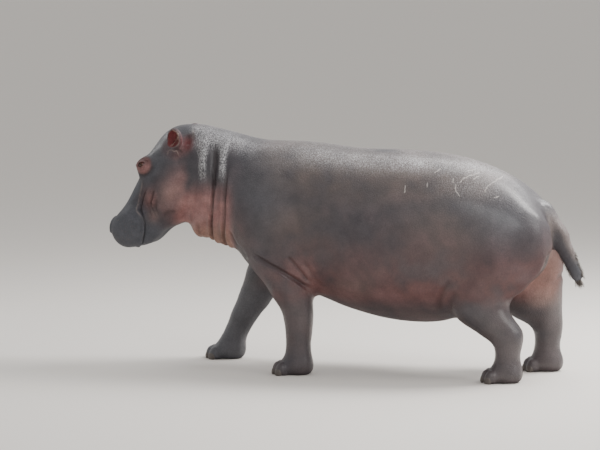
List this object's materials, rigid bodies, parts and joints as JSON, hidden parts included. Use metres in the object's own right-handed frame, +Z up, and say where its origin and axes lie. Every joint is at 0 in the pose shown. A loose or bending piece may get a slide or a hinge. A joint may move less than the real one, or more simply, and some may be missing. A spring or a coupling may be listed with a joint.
{
  "type": "hippopotamus",
  "caption": "Common hippopotamus at life size, walking with its head low: barrel body, broad muzzle, short thick legs and a hanging tail.",
  "frame": {"origin": "on the floor, midway between the muzzle and the tip of the tail and midway between the flanks", "axes": "+Z up; -Y the way the animal faces; +X its left side"},
  "size_m": [0.8955, 3.0603, 1.5372],
  "materials": {
    "hide": "satin",
    "eye": "gloss",
    "nail": "satin",
    "hair": "matte"
  },
  "bodies": {
    "root": {"head": "hide", "jaw": "hide", "eye_left": "eye", "eye_right": "eye", "ear_left": "hide", "ear_right": "hide", "neck": "hide", "trunk": "hide", "tail": "hide", "foreleg_left": "hide", "forefoot_left": "hide", "forenail_left_1": "nail", "forenail_left_2": "nail", "forenail_left_3": "nail", "forenail_left_4": "nail", "foreleg_right": "hide", "forefoot_right": "hide", "forenail_right_1": "nail", "forenail_right_2": "nail", "forenail_right_3": "nail", "forenail_right_4": "nail", "hindleg_left": "hide", "hindfoot_left": "hide", "hindnail_left_1": "nail", "hindnail_left_2": "nail", "hindnail_left_3": "nail", "hindnail_left_4": "nail", "hindleg_right": "hide", "hindfoot_right": "hide", "hindnail_right_1": "nail", "hindnail_right_2": "nail", "hindnail_right_3": "nail", "hindnail_right_4": "nail"}
  },
  "joints": []
}
